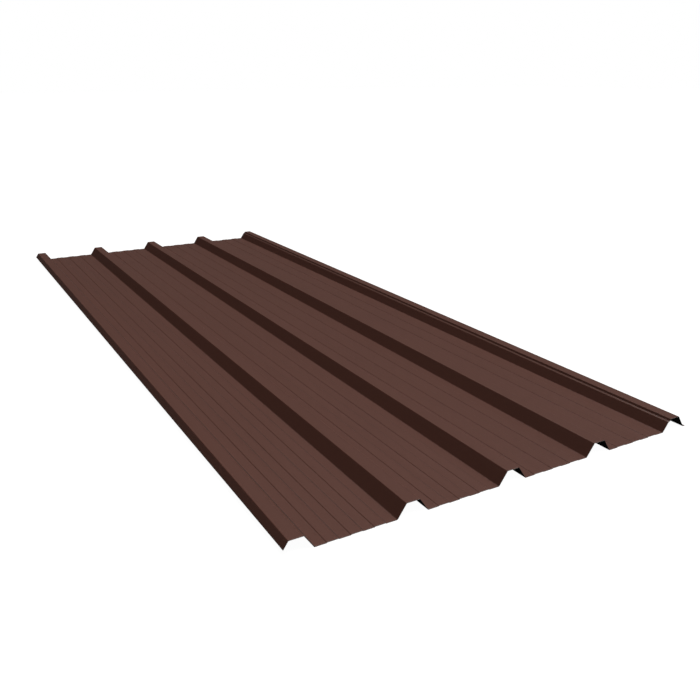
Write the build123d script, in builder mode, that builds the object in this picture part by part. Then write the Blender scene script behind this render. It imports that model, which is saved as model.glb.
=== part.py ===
from build123d import *
import os

# Corrugated metal sheet: one strip of prepainted steel, roll-formed into trapezoidal ribs
# and cut square at both ends. It lies on its pans, painted face up.
# X runs across the ribs, Y along them and Z up. The origin is the middle of the footprint.
# The section is drawn as the line of the painted face, from the overlap rib at the left
# to the underlap rib at the right, with heights counted from the low strips of the pans.

# Strip
sheet_length = 2600.0
metal_thickness = 0.6
bend_radius = 1.5

# Ribs
rib_count = 5
rib_pitch = 250.0
rib_height = 30.0
rib_base_width = 72.0
rib_crest_width = 31.0

# Shallow raised strips that stiffen each pan
stiffener_count = 3
stiffener_height = 1.1
stiffener_side_run = 1.1
stiffener_bend_radius = 1.0

# Overlap rib: its outer leg is cut short, so that it can drop over the next sheet's rib
overlap_leg_drop = 16.0

# Underlap rib: a groove beside the crest stops water creeping up between the lapped sheets
groove_setback = 2.5
groove_drop = 5.0
groove_face_run = 2.8
groove_ledge_fall = 2.0
groove_bend_radius = 0.6

# Underlap rib: its outer leg ends in a flat foot that carries the lap on the purlin
foot_width = 7.0

# Sizes that follow
side_run = (rib_base_width - rib_crest_width) / 2
side_slope = side_run / rib_height
strip_count = 2 * stiffener_count + 1
strip_width = (rib_pitch - rib_base_width) / strip_count


def crest_corner(rib, side):
    """Crest corner of a rib: side is 0 for the left one and 1 for the right one."""
    return (rib * rib_pitch + side_run + side * rib_crest_width, rib_height, bend_radius)


def base_corner(rib, side):
    """Corner where a rib meets the pan: side is 0 for the left one and 1 for the right one."""
    return (rib * rib_pitch + side * rib_base_width, 0, bend_radius)


def overlap_leg_tip():
    """Free edge of the short leg at the sheet's left side."""
    corner_x, corner_z, _ = crest_corner(0, 0)
    return (corner_x - overlap_leg_drop * side_slope, corner_z - overlap_leg_drop, 0)


def pan(rib):
    """Raised strips of the pan to the right of a rib, from left to right."""
    first_x = rib * rib_pitch + rib_base_width
    corners = []
    for step in range(1, strip_count):
        rise = 1 if step % 2 else -1
        middle_x = first_x + step * strip_width
        for side in (-1, 1):
            corner_x = middle_x + side * stiffener_side_run / 2
            corner_z = stiffener_height * (1 + side * rise) / 2
            corners.append((corner_x, corner_z, stiffener_bend_radius))
    return corners


def underlap_rib(rib):
    """The last rib: its inner side has the groove, and its outer leg ends in the foot."""
    base_x, base_z, _ = base_corner(rib, 0)
    crest_x, crest_z, _ = crest_corner(rib, 0)
    heel_x, heel_z, _ = base_corner(rib, 1)
    set_back_x = crest_x + groove_setback
    groove_z = crest_z - groove_drop
    shoulder_z = groove_z - groove_ledge_fall
    return [
        base_corner(rib, 0),
        (base_x + (shoulder_z - base_z) * side_slope, shoulder_z, groove_bend_radius),
        (set_back_x - groove_face_run, groove_z, groove_bend_radius),
        (set_back_x, crest_z, groove_bend_radius),
        crest_corner(rib, 1),
        base_corner(rib, 1),
        (heel_x + foot_width, heel_z, 0),
    ]


def section_corners():
    """Corners of the painted face from left to right, as (x, z, inside bend radius)."""
    last = rib_count - 1
    corners = [overlap_leg_tip(), crest_corner(0, 0), crest_corner(0, 1), base_corner(0, 1)]
    for rib in range(1, last):
        corners += pan(rib - 1)
        corners += [base_corner(rib, 0), crest_corner(rib, 0)]
        corners += [crest_corner(rib, 1), base_corner(rib, 1)]
    return corners + pan(last - 1) + underlap_rib(last)


corners = section_corners()
middle_x = (corners[0][0] + corners[-1][0]) / 2
points = [Vector(x - middle_x, z + metal_thickness) for x, z, _ in corners]


def face_radius(index):
    """Radius of the painted face at a corner: on the outside of a bend it is one gauge larger."""
    inside_radius = corners[index][2]
    before = points[index] - points[index - 1]
    after = points[index + 1] - points[index]
    bends_up = before.cross(after).Z > 0
    return inside_radius if bends_up else inside_radius + metal_thickness


radii = [face_radius(index) for index in range(1, len(points) - 1)]

with BuildPart() as profiled_sheet:
    with BuildSketch(Plane.XZ):
        with BuildLine():
            FilletPolyline(*points, radius=radii)
            offset(amount=metal_thickness, side=Side.RIGHT)
        make_face()
    extrude(amount=sheet_length / 2, both=True)

profiled_sheet.part.label = "profiled_sheet"
os.makedirs("parts", exist_ok=True)
export_step(profiled_sheet.part, "parts/profiled_sheet.step")
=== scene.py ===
import math
from itertools import pairwise

import bmesh
import bpy
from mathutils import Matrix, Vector


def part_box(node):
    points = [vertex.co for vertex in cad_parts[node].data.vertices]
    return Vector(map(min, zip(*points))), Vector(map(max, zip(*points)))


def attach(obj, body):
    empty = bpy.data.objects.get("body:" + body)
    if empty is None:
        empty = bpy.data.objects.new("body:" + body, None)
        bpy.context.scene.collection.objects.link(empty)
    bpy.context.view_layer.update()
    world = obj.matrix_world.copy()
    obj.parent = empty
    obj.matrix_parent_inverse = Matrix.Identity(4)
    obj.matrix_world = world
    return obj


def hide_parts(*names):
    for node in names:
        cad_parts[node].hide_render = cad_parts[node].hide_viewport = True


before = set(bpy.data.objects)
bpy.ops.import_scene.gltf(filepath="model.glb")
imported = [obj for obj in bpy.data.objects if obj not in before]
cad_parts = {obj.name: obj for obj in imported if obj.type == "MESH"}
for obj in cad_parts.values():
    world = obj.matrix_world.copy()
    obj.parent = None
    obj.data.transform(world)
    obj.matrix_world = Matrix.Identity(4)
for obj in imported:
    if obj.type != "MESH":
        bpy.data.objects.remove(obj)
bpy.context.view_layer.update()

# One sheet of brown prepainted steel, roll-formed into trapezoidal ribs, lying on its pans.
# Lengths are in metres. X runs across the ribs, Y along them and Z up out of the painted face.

SHEET_LOW, SHEET_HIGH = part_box("profiled_sheet")

# Strip
gauge = 0.0006
inside_bend = 0.0015
sheet_length = SHEET_HIGH.y - SHEET_LOW.y

# Ribs
rib_count = 5
rib_pitch = 0.250
rib_height = SHEET_HIGH.z - SHEET_LOW.z - gauge
rib_base_width = 0.072
rib_crest_width = 0.031
side_run = (rib_base_width - rib_crest_width) / 2
side_slope = side_run / rib_height

# Shallow raised strips that stiffen each pan
stiffener_count = 3
stiffener_height = 0.0011
stiffener_side_run = 0.0011
stiffener_bend = 0.0010
strip_count = 2 * stiffener_count + 1
strip_width = (rib_pitch - rib_base_width) / strip_count

# Overlap rib at the left and underlap rib at the right
overlap_leg_drop = 0.0160
groove_setback = 0.0025
groove_drop = 0.0050
groove_face_run = 0.0028
groove_ledge_fall = 0.0020
groove_bend = 0.0006
foot_width = 0.007

# Mesh: faces round each bend, the length of a row of faces along the sheet, how far the mark of a
# bend or of a rim reaches onto the flat beside it, and how steeply a slope has to fall to the
# right for the fold at its foot to be marked for the darkest painted shade on the top coat
bend_segments = 6
small_bend_segments = 4
row_length = 0.100
mark_reach = 0.005
right_slope_fall = 0.1

# Paint, painted shade, dust, zinc and steel, as linear red, green, blue and opacity
top_coat_brown = (0.1050, 0.0432, 0.0313, 1)
rubbed_brown = (0.14, 0.070, 0.055, 1)
scuffed_brown = (0.17, 0.105, 0.085, 1)
# Painted shade: the top coat darkens towards this brown in its valley folds
painted_shade_brown = (0.045, 0.022, 0.017, 1)
# Painted shade: the backing coat is near black so that the underside reads as unlit
back_coat_shade_black = (0.0150, 0.0115, 0.0100, 1)
dusty_dark = (0.040, 0.036, 0.031, 1)
chipped_zinc = (0.30, 0.29, 0.27, 1)
smeared_zinc = (0.21, 0.215, 0.22, 1)
dark_steel = (0.07, 0.068, 0.066, 1)
light_steel = (0.15, 0.147, 0.143, 1)

# Gloss of the finishes before their streaks, wear and dust
top_coat_specular = 0.3
top_coat_roughness = 0.325
back_coat_roughness = 0.52
cut_edge_roughness = 0.36

# How metallic the zinc is where a coat is chipped and where it is smeared over the steel
chip_metallic = 0.7
zinc_metallic = 0.9

# How high the slow waves of the top coat stand, and how deep a chip goes into it
wave_height = 0.0001
chip_depth = 0.00002

# Floor: it lies a hair below the pans, so that the two surfaces don't flicker into each other
floor_reach = 30.0
floor_gap = 0.0002
floor_brightness = 0.975
white = (1, 1, 1, 1)
floor_grey = (0.15, 0.15, 0.15, 1)

# One broad lamp, leaning over from the right
lamp_strength = 2.68
lamp_spread = 60.0
lamp_lean = 18.5

# Camera, placed and turned as in the photograph
camera_place = (-1.00315, -2.3468, 0.8040)
camera_turn = 30.0
camera_dip = 20.0
camera_far_limit = 200.0
frame_pixels = 700
focal_pixels = 765.7
film_width = 36.0


# Section of the painted face

def crest_corner(rib, side):
    """Crest corner of a rib: side is 0 for the left one and 1 for the right one."""
    return (rib * rib_pitch + side_run + side * rib_crest_width, rib_height, inside_bend)


def base_corner(rib, side):
    """Corner where a rib meets the pan: side is 0 for the left one and 1 for the right one."""
    return (rib * rib_pitch + side * rib_base_width, 0.0, inside_bend)


def pan(rib):
    """Raised strips of the pan to the right of a rib, from left to right."""
    corners = []
    for step in range(1, strip_count):
        rise = 1 if step % 2 else -1
        middle = rib * rib_pitch + rib_base_width + step * strip_width
        for side in (-1, 1):
            height = stiffener_height * (1 + side * rise) / 2
            corners.append((middle + side * stiffener_side_run / 2, height, stiffener_bend))
    return corners


def underlap_rib(rib):
    """The last rib: its inner side has the groove, and its outer leg ends in the foot."""
    base_x, base_z, _ = base_corner(rib, 0)
    crest_x, crest_z, _ = crest_corner(rib, 0)
    heel_x, heel_z, _ = base_corner(rib, 1)
    set_back_x = crest_x + groove_setback
    groove_z = crest_z - groove_drop
    shoulder_z = groove_z - groove_ledge_fall
    return [
        base_corner(rib, 0),
        (base_x + (shoulder_z - base_z) * side_slope, shoulder_z, groove_bend),
        (set_back_x - groove_face_run, groove_z, groove_bend),
        (set_back_x, crest_z, groove_bend),
        crest_corner(rib, 1),
        base_corner(rib, 1),
        (heel_x + foot_width, heel_z, 0.0),
    ]


def section_corners():
    """Corners of the painted face from left to right, as (place, inside bend radius)."""
    last = rib_count - 1
    crest_x, crest_z, _ = crest_corner(0, 0)
    tip = (crest_x - overlap_leg_drop * side_slope, crest_z - overlap_leg_drop, 0.0)
    corners = [tip, crest_corner(0, 0), crest_corner(0, 1), base_corner(0, 1)]
    for rib in range(1, last):
        corners += pan(rib - 1)
        corners += [base_corner(rib, 0), crest_corner(rib, 0)]
        corners += [crest_corner(rib, 1), base_corner(rib, 1)]
    corners += pan(last - 1) + underlap_rib(last)
    middle = (corners[0][0] + corners[-1][0]) / 2
    return [(Vector((x - middle, 0, z + gauge)), radius) for x, z, radius in corners]


def section_points():
    """The corners, and on each long flat two plain points where the marks of its bends end."""
    corners = section_corners()
    points = []
    for (start, radius), (end, _) in pairwise(corners):
        points.append((start, radius))
        run = end - start
        if run.length > 3 * mark_reach:
            points.append((start + mark_reach * run.normalized(), None))
            points.append((end - mark_reach * run.normalized(), None))
    points.append(corners[-1])
    return points


# Mesh of the painted face

def round_bend(bm, vert, before, after, inside_radius, marks):
    """Rounds one corner of the section and marks the new points as a crest or a valley fold.

    A valley fold at the foot of a slope that falls to the right gets a mark of its own too, where
    the top coat is painted darkest as shade.
    """
    into = (vert.co - before).normalized()
    out = (after - vert.co).normalized()
    turn = into.angle(out)
    valley = into.cross(out).y < 0
    right_slope_foot = valley and into.z < -right_slope_fall
    radius = inside_radius if valley else inside_radius + gauge
    segments = small_bend_segments if inside_radius < inside_bend else bend_segments
    rounded = bmesh.ops.bevel(
        bm, geom=[vert], offset=radius * math.tan(turn / 2), offset_type="OFFSET",
        segments=segments, profile=0.5, affect="VERTICES", material=-1,
    )
    for new in rounded["verts"]:
        new[marks["valley" if valley else "crest"]] = 1.0
        new[marks["right_slope_foot"]] = float(right_slope_foot)


def measure_across(bm, across):
    """Stores how far each point of the section lies from the left edge, along the strip."""
    vert = min(bm.verts, key=lambda point: point.co.x)
    edge = None
    distance = 0.0
    while True:
        vert[across] = distance
        onward = [link for link in vert.link_edges if link != edge]
        if not onward:
            return
        edge = onward[0]
        distance += edge.calc_length()
        vert = edge.other_vert(vert)


def draw_section(bm, marks):
    """Draws the section at the near end of the sheet and rounds its bends."""
    points = section_points()
    near_end = Vector((0, SHEET_LOW.y, 0))
    verts = [bm.verts.new(place + near_end) for place, _ in points]
    for pair in pairwise(verts):
        bm.edges.new(pair)
    places = [vert.co.copy() for vert in verts]
    for index, (_, radius) in enumerate(points):
        if radius:
            round_bend(bm, verts[index], places[index - 1], places[index + 1], radius, marks)
    measure_across(bm, marks["across"])


def draw_out(bm):
    """Draws the section out along Y in even rows, with a narrow row at each end."""
    rows = round(sheet_length / row_length)
    inner = (sheet_length - 2 * mark_reach) / rows
    edges = bm.edges[:]
    for step in [mark_reach] + [inner] * rows + [mark_reach]:
        drawn = bmesh.ops.extrude_edge_only(bm, edges=edges)["geom"]
        moved = [item for item in drawn if isinstance(item, bmesh.types.BMVert)]
        edges = [item for item in drawn if isinstance(item, bmesh.types.BMEdge)]
        edges = [edge for edge in edges if edge.verts[0] in moved and edge.verts[1] in moved]
        bmesh.ops.translate(bm, vec=(0, step, 0), verts=moved)


def mark_rim(bm, rim):
    """Marks the points on the two cut ends and the two slit sides."""
    for edge in bm.edges:
        if edge.is_boundary:
            for vert in edge.verts:
                vert[rim] = 1.0


def object_from(name, bm):
    """Makes an object of the scene from a finished bmesh."""
    mesh = bpy.data.meshes.new(name)
    bm.to_mesh(mesh)
    bm.free()
    piece = bpy.data.objects.new(name, mesh)
    bpy.context.scene.collection.objects.link(piece)
    return piece


def painted_face(name):
    """The painted face as one open strip, facing up, with the marks that its finishes read.

    Crest, valley and the foot-of-slope mark are 1 on a fold and rim is 1 on an edge of the strip,
    and each is 0 elsewhere. Across is the distance from the left edge along the strip.
    """
    bm = bmesh.new()
    names = ("crest", "valley", "right_slope_foot", "rim", "across")
    marks = {mark: bm.verts.layers.float.new(mark) for mark in names}
    draw_section(bm, marks)
    draw_out(bm)
    mark_rim(bm, marks["rim"])
    bmesh.ops.recalc_face_normals(bm, faces=bm.faces)
    if sum(face.normal.z * face.calc_area() for face in bm.faces) < 0:
        bmesh.ops.reverse_faces(bm, faces=bm.faces)
    for face in bm.faces:
        face.smooth = True
    return object_from(name, bm)


# Nodes

def add(tree, kind, inputs=None, **settings):
    """Adds one node. An input is a plain value or the socket that it comes from."""
    node = tree.nodes.new(kind)
    for name, value in settings.items():
        setattr(node, name, value)
    for name, value in (inputs or {}).items():
        if isinstance(value, bpy.types.NodeSocket):
            tree.links.new(value, node.inputs[name])
        else:
            node.inputs[name].default_value = value
    return node


def maths(tree, operation, first, second):
    return add(tree, "ShaderNodeMath", {0: first, 1: second}, operation=operation).outputs[0]


def plus(tree, first, second):
    return maths(tree, "ADD", first, second)


def minus(tree, first, second):
    return maths(tree, "SUBTRACT", first, second)


def times(tree, first, second):
    return maths(tree, "MULTIPLY", first, second)


def over(tree, first, second):
    return maths(tree, "DIVIDE", first, second)


def layered(tree, start, parts):
    """Adds up a starting value and several values, each times its own weight."""
    total = start
    for value, weight in parts:
        total = plus(tree, total, times(tree, value, weight))
    return total


def linear(tree, value, old, new):
    """Moves a value from an old range to a new one, in a straight line that stops at its ends."""
    return add(tree, "ShaderNodeMapRange", {
        "Value": value, "From Min": old[0], "From Max": old[1], "To Min": new[0], "To Max": new[1],
    }).outputs[0]


def mask(tree, value, low, high):
    """A soft mask: 0 below the low end and 1 above the high end."""
    return add(tree, "ShaderNodeMapRange", {
        "Value": value, "From Min": low, "From Max": high,
    }, interpolation_type="SMOOTHSTEP").outputs[0]


def noise(tree, vector, scale=1.0, detail=2.0):
    return add(tree, "ShaderNodeTexNoise", {
        "Vector": vector, "Scale": scale, "Detail": detail,
    }).outputs[0]


def blend(tree, factor, first, second, way="MIX"):
    """Blends two colours. The node's sockets are given by place: the factor, then both colours."""
    return add(tree, "ShaderNodeMix", {
        0: factor, 6: first, 7: second,
    }, data_type="RGBA", blend_type=way).outputs[2]


def marked(tree, name):
    """Reads one of the marks that the sheet's mesh carries."""
    return add(tree, "ShaderNodeAttribute", attribute_name=name).outputs["Fac"]


def along_sheet(tree):
    """Distance along the ribs from the middle of the sheet."""
    place = add(tree, "ShaderNodeTexCoord").outputs["Object"]
    return add(tree, "ShaderNodeSeparateXYZ", {"Vector": place}).outputs["Y"]


def along_strip(tree, width, length):
    """Coordinates that follow the strip round its bends, in widths across and lengths along."""
    return add(tree, "ShaderNodeCombineXYZ", {
        "X": over(tree, marked(tree, "across"), width),
        "Y": over(tree, along_sheet(tree), length),
    }).outputs[0]


# Effects that more than one finish uses

def effect(name, inputs, outputs):
    """Starts a node group of plain values. Each input is given with its usual value."""
    group = bpy.data.node_groups.new(name, "ShaderNodeTree")
    for label, usual in inputs.items():
        socket = group.interface.new_socket(label, in_out="INPUT", socket_type="NodeSocketFloat")
        socket.default_value = usual
    for label in outputs:
        group.interface.new_socket(label, in_out="OUTPUT", socket_type="NodeSocketFloat")
    given = add(group, "NodeGroupInput").outputs
    result = add(group, "NodeGroupOutput").inputs
    return group, given, result


def coil_streaks():
    """Faint lengthwise bands from the coating rolls, over broad clouds of tone."""
    group, given, result = effect("coil_streaks", {
        "Band Width": 0.012, "Band Length": 0.8, "Contrast": 0.015,
    }, ["Tone", "Bands"])
    bands = noise(group, along_strip(group, given["Band Width"], given["Band Length"]), detail=3.0)
    clouds = noise(group, along_strip(group, width=0.20, length=0.45))
    both = layered(group, 0.0, [(bands, 0.6), (clouds, 0.4)])
    darkest = minus(group, 1.0, given["Contrast"])
    lightest = plus(group, 1.0, given["Contrast"])
    group.links.new(linear(group, both, (0.35, 0.65), (darkest, lightest)), result["Tone"])
    group.links.new(linear(group, bands, (0.3, 0.7), (0.0, 1.0)), result["Bands"])
    return group


def coating_grain():
    """Orange peel of the cured coat and the finer grain of its matting, as a height in metres."""
    group, given, result = effect("coating_grain", {
        "Peel Size": 0.0012, "Peel Height": 0.000004,
        "Grain Size": 0.00025, "Grain Height": 0.000001,
    }, ["Height", "Grain"])
    place = add(group, "ShaderNodeTexCoord").outputs["Object"]
    peel = noise(group, place, scale=over(group, 1.0, given["Peel Size"]), detail=1.0)
    grain = noise(group, place, scale=over(group, 1.0, given["Grain Size"]), detail=1.0)
    peel_height = times(group, peel, given["Peel Height"])
    grain_height = times(group, grain, given["Grain Height"])
    group.links.new(plus(group, peel_height, grain_height), result["Height"])
    group.links.new(grain, result["Grain"])
    return group


def cut_rim_wear():
    """Small chips in the coat along the cut and slit edges, in some stretches more than others."""
    group, given, result = effect("cut_rim_wear", {
        "Reach": 0.0006, "Chip Size": 0.0008,
    }, ["Chips"])
    inset = times(group, minus(group, 1.0, marked(group, "rim")), mark_reach)
    ragged = noise(group, along_strip(group, given["Chip Size"], given["Chip Size"]))
    stretches = noise(group, along_strip(group, width=0.015, length=0.015))
    uneven = plus(group, ragged, times(group, stretches, 0.6))
    inwards = times(group, over(group, inset, given["Reach"]), 0.2)
    group.links.new(mask(group, minus(group, uneven, inwards), 0.82, 0.86), result["Chips"])
    return group


def fold_dust_and_shade():
    """A patchy mask along the folds that are hollow on this side, thinning out onto the flats.

    The top coat paints shade with it, and the back coat paints dust.
    """
    group, given, result = effect("fold_dust_and_shade", {"Fold": 0.0, "Reach": 0.0012}, ["Dust"])
    away = times(group, minus(group, 1.0, given["Fold"]), mark_reach)
    near = minus(group, 1.0, over(group, away, given["Reach"]))
    uneven = noise(group, along_strip(group, width=0.006, length=0.05))
    patches = linear(group, uneven, (0.3, 0.7), (0.75, 1.0))
    group.links.new(times(group, mask(group, near, 0.0, 1.0), patches), result["Dust"])
    return group


def effects():
    return {
        "streaks": coil_streaks(), "grain": coating_grain(),
        "chips": cut_rim_wear(), "dust_and_shade": fold_dust_and_shade(),
    }


def use(tree, group, values=None):
    """Places an effect in a finish, with the finish's own values, and gives its outputs."""
    return add(tree, "ShaderNodeGroup", values, node_tree=group).outputs


# Finishes

def finish(name):
    material = bpy.data.materials.new(name)
    material.use_nodes = True
    return material, material.node_tree, material.node_tree.nodes["Principled BSDF"]


def connect(tree, shader, color, roughness, metallic, height):
    """Feeds the shader what changes over the surface. The height is in metres."""
    bump = add(tree, "ShaderNodeBump", {"Distance": 1.0, "Height": height})
    tree.links.new(color, shader.inputs["Base Color"])
    tree.links.new(roughness, shader.inputs["Roughness"])
    tree.links.new(metallic, shader.inputs["Metallic"])
    tree.links.new(bump.outputs["Normal"], shader.inputs["Normal"])


def painted_fold_shade(tree, made):
    """Painted shade: darker brown along the valley folds, and darker still at the foot of each
    slope that falls to the right.

    Both are strongest at the overlap side, and the darker one also fades from the near end along
    the sheet.
    """
    dust_and_shade = use(tree, made["dust_and_shade"], {"Fold": marked(tree, "valley"), "Reach": 0.0012})["Dust"]
    foot_shade = use(tree, made["dust_and_shade"], {"Fold": marked(tree, "right_slope_foot"), "Reach": 0.0020})["Dust"]
    sideways = linear(tree, marked(tree, "across"), (0.15, 0.95), (1.15, 0.0))
    lengthwise = linear(tree, along_sheet(tree), (-1.3, 0.3), (1.05, 0.40))
    return times(tree, dust_and_shade, sideways), times(tree, foot_shade, times(tree, sideways, lengthwise))


def rubbed_folds(tree):
    """Crest folds that the forming rolls have rubbed, in some stretches."""
    folds = mask(tree, marked(tree, "crest"), 0.85, 1.0)
    stretches = mask(tree, noise(tree, along_strip(tree, width=0.004, length=0.06)), 0.45, 0.65)
    return times(tree, folds, stretches)


def handling_scuffs(tree):
    """Fine lengthwise lines, in some places only."""
    lines = mask(tree, noise(tree, along_strip(tree, width=0.0006, length=0.12)), 0.66, 0.72)
    places = mask(tree, noise(tree, along_strip(tree, width=0.05, length=0.30)), 0.50, 0.62)
    return times(tree, lines, places)


def brown_top_coat(made):
    """Satin polyester on the painted face."""
    material, tree, shader = finish("brown_top_coat")
    shader.inputs["Specular IOR Level"].default_value = top_coat_specular
    streaks = use(tree, made["streaks"], {
        "Band Width": 0.014, "Band Length": 0.9, "Contrast": 0.025,
    })
    grain = use(tree, made["grain"], {
        "Peel Size": 0.0014, "Peel Height": 0.000009,
        "Grain Size": 0.0003, "Grain Height": 0.000002,
    })
    chips = use(tree, made["chips"])["Chips"]
    dust_and_shade, foot_shade = painted_fold_shade(tree, made)
    rubbed = rubbed_folds(tree)
    scuffs = handling_scuffs(tree)

    brown = blend(tree, 1.0, top_coat_brown, streaks["Tone"], "MULTIPLY")
    brown = blend(tree, times(tree, rubbed, 0.10), brown, rubbed_brown)
    brown = blend(tree, times(tree, scuffs, 0.15), brown, scuffed_brown)
    # Painted shade in the valley folds, darkest at the feet of slopes that fall to the right
    brown = blend(tree, layered(tree, 0.0, [(dust_and_shade, 0.35), (foot_shade, 0.70)]), brown, painted_shade_brown)
    color = blend(tree, chips, brown, chipped_zinc)
    roughness = layered(tree, top_coat_roughness, [
        (streaks["Bands"], 0.03), (dust_and_shade, 0.12), (foot_shade, 0.10),
        (rubbed, -0.05), (scuffs, 0.06), (chips, 0.10),
    ])
    waves = times(tree, noise(tree, along_strip(tree, width=0.10, length=0.35)), wave_height)
    height = plus(tree, grain["Height"], waves)
    height = minus(tree, height, times(tree, chips, chip_depth))
    connect(tree, shader, color, roughness, times(tree, chips, chip_metallic), height)
    return material


def shade_black_back_coat(made):
    """Thin matt backing coat on the underside, with more streaks than the painted face.

    Its near-black colour is painted shade, so that the underside reads as unlit.
    """
    material, tree, shader = finish("shade_black_back_coat")
    streaks = use(tree, made["streaks"], {
        "Band Width": 0.007, "Band Length": 0.5, "Contrast": 0.10,
    })
    grain = use(tree, made["grain"], {
        "Peel Size": 0.0018, "Peel Height": 0.000007,
        "Grain Size": 0.0004, "Grain Height": 0.000002,
    })
    chips = use(tree, made["chips"], {"Reach": 0.0009, "Chip Size": 0.0011})["Chips"]
    dust_and_shade = use(tree, made["dust_and_shade"], {"Fold": marked(tree, "crest"), "Reach": 0.0015})["Dust"]

    # Near black as painted shade for the unlit underside
    dark = blend(tree, 1.0, back_coat_shade_black, streaks["Tone"], "MULTIPLY")
    dark = blend(tree, times(tree, dust_and_shade, 0.40), dark, dusty_dark)
    color = blend(tree, chips, dark, chipped_zinc)
    roughness = layered(tree, back_coat_roughness, [
        (streaks["Bands"], 0.06), (grain["Grain"], 0.04), (dust_and_shade, 0.10),
    ])
    connect(tree, shader, color, roughness, times(tree, chips, chip_metallic), grain["Height"])
    return material


def cut_steel_edge(made):
    """Bare sheared edge: fine lines run through the gauge, and zinc is smeared over parts."""
    material, tree, shader = finish("cut_steel_edge")
    shear_lines = noise(tree, along_strip(tree, width=0.0004, length=0.0004), detail=3.0)
    zinc = mask(tree, noise(tree, along_strip(tree, width=0.006, length=0.006)), 0.45, 0.60)
    grain = use(tree, made["grain"], {
        "Peel Size": 0.0003, "Peel Height": 0.000006,
        "Grain Size": 0.0001, "Grain Height": 0.000003,
    })
    steel = blend(tree, mask(tree, shear_lines, 0.35, 0.65), dark_steel, light_steel)
    color = blend(tree, times(tree, zinc, 0.6), steel, smeared_zinc)
    roughness = layered(tree, cut_edge_roughness, [(shear_lines, 0.20)])
    metallic = linear(tree, zinc, (0.0, 1.0), (1.0, zinc_metallic))
    connect(tree, shader, color, roughness, metallic, grain["Height"])
    return material


# The sheet

def coated_sheet():
    """The painted face with its gauge below it: paint on top, back coat under, steel at the rim."""
    piece = painted_face("coated_sheet")
    made = effects()
    for material in (brown_top_coat(made), shade_black_back_coat(made), cut_steel_edge(made)):
        piece.data.materials.append(material)
    shell = piece.modifiers.new("gauge", "SOLIDIFY")
    shell.thickness = gauge
    shell.offset = -1.0
    shell.use_even_offset = True
    shell.material_offset = 1
    shell.material_offset_rim = 2
    shading = piece.modifiers.new("flat_pans", "WEIGHTED_NORMAL")
    shading.keep_sharp = True
    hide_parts("profiled_sheet")
    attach(piece, "root")


# Studio

def floor_finish():
    """Plain grey that shows as nearly white to the camera and throws little light on the sheet."""
    material = bpy.data.materials.new("pale_floor")
    material.use_nodes = True
    tree = material.node_tree
    tree.nodes.clear()
    path = add(tree, "ShaderNodeLightPath")
    seen = add(tree, "ShaderNodeEmission", {"Color": white, "Strength": floor_brightness})
    lit = add(tree, "ShaderNodeBsdfDiffuse", {"Color": floor_grey})
    both = add(tree, "ShaderNodeAddShader", {0: seen.outputs[0], 1: lit.outputs[0]})
    mixed = add(tree, "ShaderNodeMixShader", {
        0: path.outputs["Is Camera Ray"], 1: lit.outputs[0], 2: both.outputs[0],
    })
    add(tree, "ShaderNodeOutputMaterial", {"Surface": mixed.outputs[0]})
    return material


def floor():
    bm = bmesh.new()
    bmesh.ops.create_grid(bm, x_segments=1, y_segments=1, size=floor_reach)
    bmesh.ops.translate(bm, vec=(0, 0, -floor_gap), verts=bm.verts)
    piece = object_from("floor", bm)
    piece.data.materials.append(floor_finish())


def surroundings():
    """White to the camera. On the sheet it is a dim glow, brighter overhead and to the right."""
    world = bpy.data.worlds.new("studio")
    bpy.context.scene.world = world
    world.use_nodes = True
    tree = world.node_tree
    tree.nodes.clear()
    path = add(tree, "ShaderNodeLightPath")
    place = add(tree, "ShaderNodeTexCoord").outputs["Generated"]
    way = add(tree, "ShaderNodeSeparateXYZ", {"Vector": place}).outputs
    walls = linear(tree, way["Z"], (0.1, 0.4), (0.04, 0.06))
    ceiling = linear(tree, way["Z"], (0.4, 0.6), (0.0, 0.20))
    right = linear(tree, way["X"], (-0.3, 0.2), (0.1, 1.0))
    glow = times(tree, plus(tree, walls, ceiling), right)
    room = add(tree, "ShaderNodeBackground", {"Color": white, "Strength": glow})
    seen = add(tree, "ShaderNodeBackground", {"Color": white, "Strength": 1.0})
    mixed = add(tree, "ShaderNodeMixShader", {
        0: path.outputs["Is Camera Ray"], 1: room.outputs[0], 2: seen.outputs[0],
    })
    add(tree, "ShaderNodeOutputWorld", {"Surface": mixed.outputs[0]})


def lamp():
    light = bpy.data.lights.new("key", "SUN")
    light.energy = lamp_strength
    light.angle = math.radians(lamp_spread)
    key = bpy.data.objects.new("key", light)
    key.rotation_euler = (0, math.radians(lamp_lean), 0)
    bpy.context.scene.collection.objects.link(key)


def camera():
    data = bpy.data.cameras.new("camera")
    data.sensor_width = film_width
    data.lens = focal_pixels / frame_pixels * film_width
    data.clip_end = camera_far_limit
    eye = bpy.data.objects.new("camera", data)
    eye.location = camera_place
    eye.rotation_euler = (math.radians(90 - camera_dip), 0, math.radians(-camera_turn))
    bpy.context.scene.collection.objects.link(eye)
    bpy.context.scene.camera = eye


coated_sheet()
floor()
surroundings()
lamp()
camera()
bpy.context.scene.view_settings.view_transform = "Standard"
